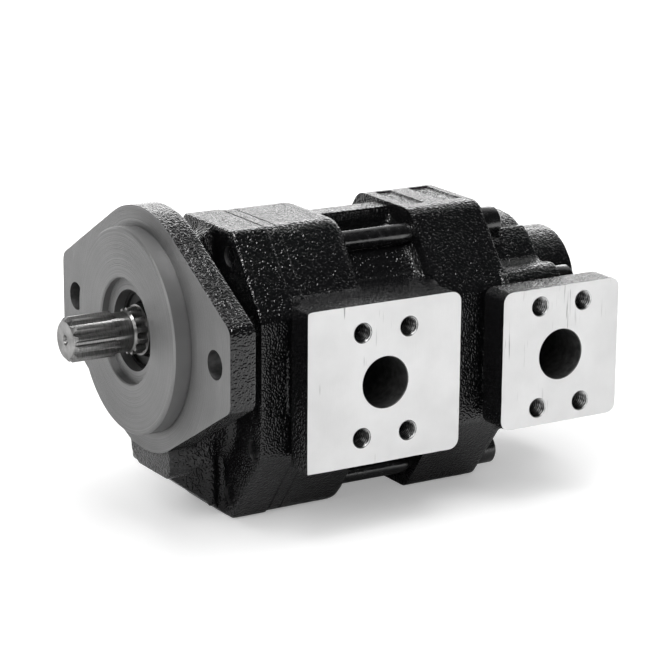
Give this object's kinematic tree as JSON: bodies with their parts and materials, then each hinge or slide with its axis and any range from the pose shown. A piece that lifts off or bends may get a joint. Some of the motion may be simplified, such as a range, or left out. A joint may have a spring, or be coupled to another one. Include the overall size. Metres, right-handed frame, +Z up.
{
  "type": "gear pump",
  "caption": "Tandem cast-iron gear pump with a two-bolt flange, round pilot, splined shaft, and a square outlet pad and an inlet pad on each section.",
  "frame": {"origin": "centre of the mounting pilot, in the plane of the flange face", "axes": "+X along the drive shaft towards the back of the pump, -Y towards the outlet side, +Z up, with the driven gears below the shaft"},
  "size_m": [0.2796, 0.1752, 0.1571],
  "materials": {
    "black_casting": "glossy black paint over sand-cast iron, with bare machined flange and pad faces",
    "ground_steel": "turned and ground steel",
    "dark_steel": "black-oxide steel, lightly oiled",
    "alloy": "machined aluminium alloy",
    "bronze": "bearing bronze, bored",
    "rubber": "moulded nitrile rubber"
  },
  "bodies": {
    "pump": {"front_cover": "black_casting", "front_housing": "black_casting", "rear_housing": "black_casting", "fore_bearing_block": "alloy", "aft_bearing_block": "alloy", "rear_bearing_block": "alloy", "centre_carrier": "alloy", "rear_wear_plate": "bronze", "cover_bush": "bronze", "fore_block_bushes": "bronze", "aft_block_bushes": "bronze", "rear_block_bushes": "bronze", "end_bushes": "bronze", "shaft_seal": "rubber", "seal_spring": "ground_steel", "seal_retaining_ring": "dark_steel", "interstage_seal": "rubber", "cover_seal": "rubber", "joint_seal": "rubber", "fore_block_seal": "rubber", "aft_block_seal": "rubber", "rear_block_seal": "rubber", "cover_dowels": "ground_steel", "joint_dowels": "ground_steel", "short_tie_bolts": "dark_steel", "long_tie_bolts": "dark_steel"},
    "drive_train": {"drive_shaft": "ground_steel", "coupling_sleeve": "dark_steel", "rear_drive_gear": "ground_steel"},
    "front_driven": {"front_driven_gear": "ground_steel"},
    "rear_driven": {"rear_driven_gear": "ground_steel"}
  },
  "joints": [
    {"name": "shaft_spin", "type": "hinge", "parent": "pump", "child": "drive_train", "pos_m": [0, 0, 0], "axis": [1, 0, 0], "continuous": true},
    {"name": "front_driven_spin", "type": "hinge", "parent": "pump", "child": "front_driven", "pos_m": [0.093, 0, -0.0432], "axis": [1, 0, 0], "continuous": true},
    {"name": "rear_driven_spin", "type": "hinge", "parent": "pump", "child": "rear_driven", "pos_m": [0.191, 0, -0.0432], "axis": [1, 0, 0], "continuous": true}
  ],
  "couplings": [
    {"joint": "front_driven_spin", "follows": "shaft_spin", "ratio": -1},
    {"joint": "rear_driven_spin", "follows": "shaft_spin", "ratio": -1}
  ]
}
